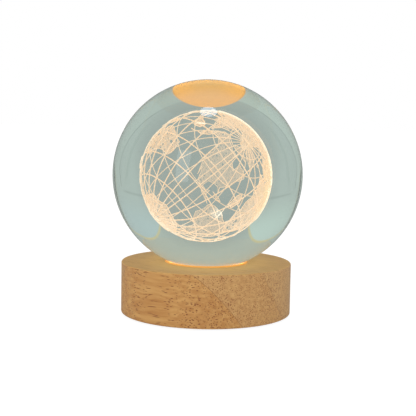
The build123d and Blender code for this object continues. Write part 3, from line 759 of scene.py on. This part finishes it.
def wood_parts(sheet, where):
    """Shared parts of the wood: the strip's number, glue lines, pores, fine streaks and broad bands."""
    turned = {"Vector": where, "Rotation": Euler((0, 0, FIBRE_TURN))}
    along = sheet.add("ShaderNodeMapping", {"vector_type": "POINT"}, turned)
    x, y, z = along.parts()
    # strips are counted from 0 at the first glue line; on its other side there is one wide strip, number -1
    across = ((y * GLUE_TILT[0] + z * GLUE_TILT[1] - GLUE_START) / STRIP_WIDTH).apply("MAXIMUM", -0.9)
    strip = across.apply("FLOOR")
    glue = (across - strip - 0.5).apply("ABSOLUTE").ease(0.492, 0.499)
    shift = sheet.add("ShaderNodeTexWhiteNoise", {"noise_dimensions": "1D"}, {"W": strip}, "Color")
    placed = along + shift * STRIP_SHIFT
    placed = placed + (sheet.noise(placed, WARP_WAVES, 1.0, out="Color") - MID_GREY) * WARP
    cells = {"Vector": placed * PORE_STRETCH, "Scale": PORE_WAVES}
    pores = sheet.add("ShaderNodeTexVoronoi", {"feature": "F1"}, cells, "Distance")
    chance, _, _ = pores.out("Color").parts()
    streaks = sheet.noise(placed * STREAK_STRETCH, STREAK_WAVES, 3.0)
    bands = sheet.noise(placed * BAND_STRETCH, BAND_WAVES, 2.0)
    pore = 1.0 - (pores - 0.10 - chance * 0.18 - bands.ease(0.35, 0.65) * 0.08).ease(-0.05, 0.09)
    return strip, glue, pore, streaks, bands


def reach_of(sheet, where):
    """Distance from the lamp's axis, in metres."""
    x, y, z = where.parts()
    return (x * x + y * y).apply("SQRT")


print("wood: strips", round(STRIP_WIDTH / MM, 1), "mm wide")

# %% Mix the wood
BAND_LIGHT, BAND_DARK = (0.60, 0.32, 0.095), (0.54, 0.265, 0.08)
STREAK_DARK, STREAK_LIGHT, STRIP_PALE = (0.48, 0.205, 0.05), (0.70, 0.39, 0.125), (0.64, 0.46, 0.23)
PORE_BROWN, GLUE_BROWN = (0.23, 0.06, 0.016), (0.22, 0.08, 0.025)
# painted light: the top face's colours, lighter and warmer near the seat, as if the lit seat shone on it
TOP_LIT_BY_SEAT, TOP_LIT_AT_EDGE = (1.0, 0.66, 0.20), (0.64, 0.385, 0.11)


def wood_colour(sheet, where):
    strip, glue, pore, streaks, bands = wood_parts(sheet, where)
    band = sheet.mix(bands.ease(0.3, 0.7), BAND_LIGHT, BAND_DARK)
    colour = sheet.mix(streaks.ease(0.2, 0.8), STREAK_DARK, sheet.mix(0.6, band, STREAK_LIGHT))
    colour = sheet.mix((strip > -0.5) * 0.2 + (strip > 0.5) * 0.12, colour, STRIP_PALE)
    colour = sheet.mix(pore * 0.95, colour, PORE_BROWN)
    # painted light on the top face: the seat's warm glow, strongest near the seat
    top = where.parts()[2].ease(BASE_TOP - 0.3 * MM, BASE_TOP - 0.05 * MM)
    paler = sheet.mix(reach_of(sheet, where).ease(19 * MM, 33 * MM), TOP_LIT_BY_SEAT, TOP_LIT_AT_EDGE)
    colour = sheet.mix(top * 0.6, colour, paler)
    return sheet.mix(glue * 0.6, colour, GLUE_BROWN)


def wood_roughness(sheet, where):
    return 0.42 + sheet.noise(where, 900.0, 2.0) * 0.16


def wood_height(sheet, where):
    strip, glue, pore, streaks, bands = wood_parts(sheet, where)
    return streaks * 0.3 - pore - glue * 0.5


varnish = {"Coat Weight": 0.12, "Coat Roughness": 0.3}
base_wood = principled("base_wood", wood_colour, wood_roughness, varnish, (0.03 * MM, wood_height))
print("made", base_wood.name)

# %% [markdown]
# ## Light
#
# The ball stands in a shallow dish of milky silicone, and a frosted lens below the dish lights it. From the side one
# sees only the dish's rim, a thin lit line between glass and wood. Its face is seen through the ball: a small part of
# the light that reaches the glass from inside is thrown back, and that faint picture of the dish, together with the
# warm patch on the table behind the lamp, is the orange patch at the top of the ball. So the face glows much brighter
# than the rim, which one sees without the glass.

# %% Mix the lit plastics
DISH_MIDDLE, DISH_FACE, DISH_CLOUD = (0.40, 0.27, 0.13), (0.80, 0.32, 0.042), (0.55, 0.28, 0.08)
DISH_SLOPE, DISH_RIM = (0.165, 0.070, 0.017), (0.150, 0.072, 0.0125)
LENS_MIDDLE, LENS_EDGE = (1.0, 0.72, 0.40), (0.95, 0.60, 0.28)


def dish_glow(sheet, where):
    reach = reach_of(sheet, where)
    cloud = sheet.noise(where, 170.0, 2.0)
    glow = sheet.mix(reach.ease(5 * MM, 14 * MM), DISH_MIDDLE, DISH_FACE)
    glow = sheet.mix(cloud.ease(0.3, 0.75) * 0.25, glow, DISH_CLOUD)
    glow = sheet.mix(reach.ease(16.0 * MM, 16.3 * MM), glow, DISH_SLOPE)
    return sheet.mix(reach.ease(17.1 * MM, 17.3 * MM), glow, DISH_RIM)


def lens_glow(sheet, where):
    return sheet.mix(reach_of(sheet, where).ease(2 * MM, 13 * MM), LENS_MIDDLE, LENS_EDGE)


dish_light = {"Emission Color": dish_glow, "Emission Strength": 4.0}
lens_light = {"Emission Color": lens_glow, "Emission Strength": 3.0}
lit_dish = principled("lit_silicone", (0.45, 0.22, 0.08), 0.4, dish_light)
lit_lens = principled("frosted_plastic", (0.9, 0.85, 0.75), 0.5, lens_light)
print("made", lit_lens.name, lit_dish.name)

# %% [markdown]
# ## The other finishes
#
# Everything else is plain: moulded plastics, circuit boards, plated screws, insulation and rubber. Each has its own
# grain. One function mixes them all, from a colour, a roughness and the size and depth of its grain.

# %% Mix the plain finishes
def plain_finish(name, colour, roughness, waves, depth, metallic=0.0, spread=0.12, squeeze=(1.0, 1.0, 1.0)):
    """A finish with fine grain; waves is the grain's waves per metre and depth its height in millimetres."""

    def grain(sheet, where):
        placed = sheet.add("ShaderNodeVectorMath", {"operation": "MULTIPLY"}, {0: where, 1: squeeze})
        return sheet.noise(placed, waves, 3.0)

    def base(sheet, where):
        darker = tuple(c * (1 - spread) for c in colour)
        lighter = tuple(min(1.0, c * (1 + spread) + 0.004) for c in colour)
        return sheet.mix(grain(sheet, where).ease(0.3, 0.7), darker, lighter)

    def rough(sheet, where):
        return roughness - 0.06 + grain(sheet, where) * 0.12

    return principled(name, base, rough, {"Metallic": metallic}, (depth * MM, grain))


finishes = {
    "base_wood": base_wood,
    "lit_silicone": lit_dish,
    "frosted_plastic": lit_lens,
    "white_plastic": plain_finish("white_plastic", (0.80, 0.79, 0.76), 0.42, 900, 0.01, spread=0.04),
    "white_board": plain_finish("white_board", (0.82, 0.82, 0.80), 0.28, 1400, 0.004, spread=0.03),
    "green_board": plain_finish("green_board", (0.03, 0.16, 0.07), 0.3, 1200, 0.01, spread=0.2),
    "phosphor": plain_finish("phosphor", (0.85, 0.55, 0.08), 0.35, 2600, 0.01, spread=0.1),
    "black_plastic": plain_finish("black_plastic", (0.022, 0.022, 0.023), 0.5, 2200, 0.02, spread=0.25),
    "plated_steel": plain_finish("plated_steel", (0.62, 0.61, 0.58), 0.3, 1500, 0.004, 1.0, 0.08, (1.0, 1.0, 0.1)),
    "red_insulation": plain_finish("red_insulation", (0.50, 0.03, 0.02), 0.45, 1100, 0.01),
    "black_insulation": plain_finish("black_insulation", (0.02, 0.02, 0.02), 0.45, 1100, 0.01),
    "solder": plain_finish("solder", (0.66, 0.66, 0.65), 0.22, 1300, 0.02, 1.0, 0.06),
    "foot_rubber": plain_finish("foot_rubber", (0.045, 0.045, 0.045), 0.8, 2600, 0.03, spread=0.2),
}
for part in frame["record"]["subparts"]:
    finish = finishes.get(part["material_slot"])
    if finish:
        node = frame["nodes"][part["node"]]
        node.data.materials.clear()
        node.data.materials.append(finish)
print("finishes:", len(finishes))
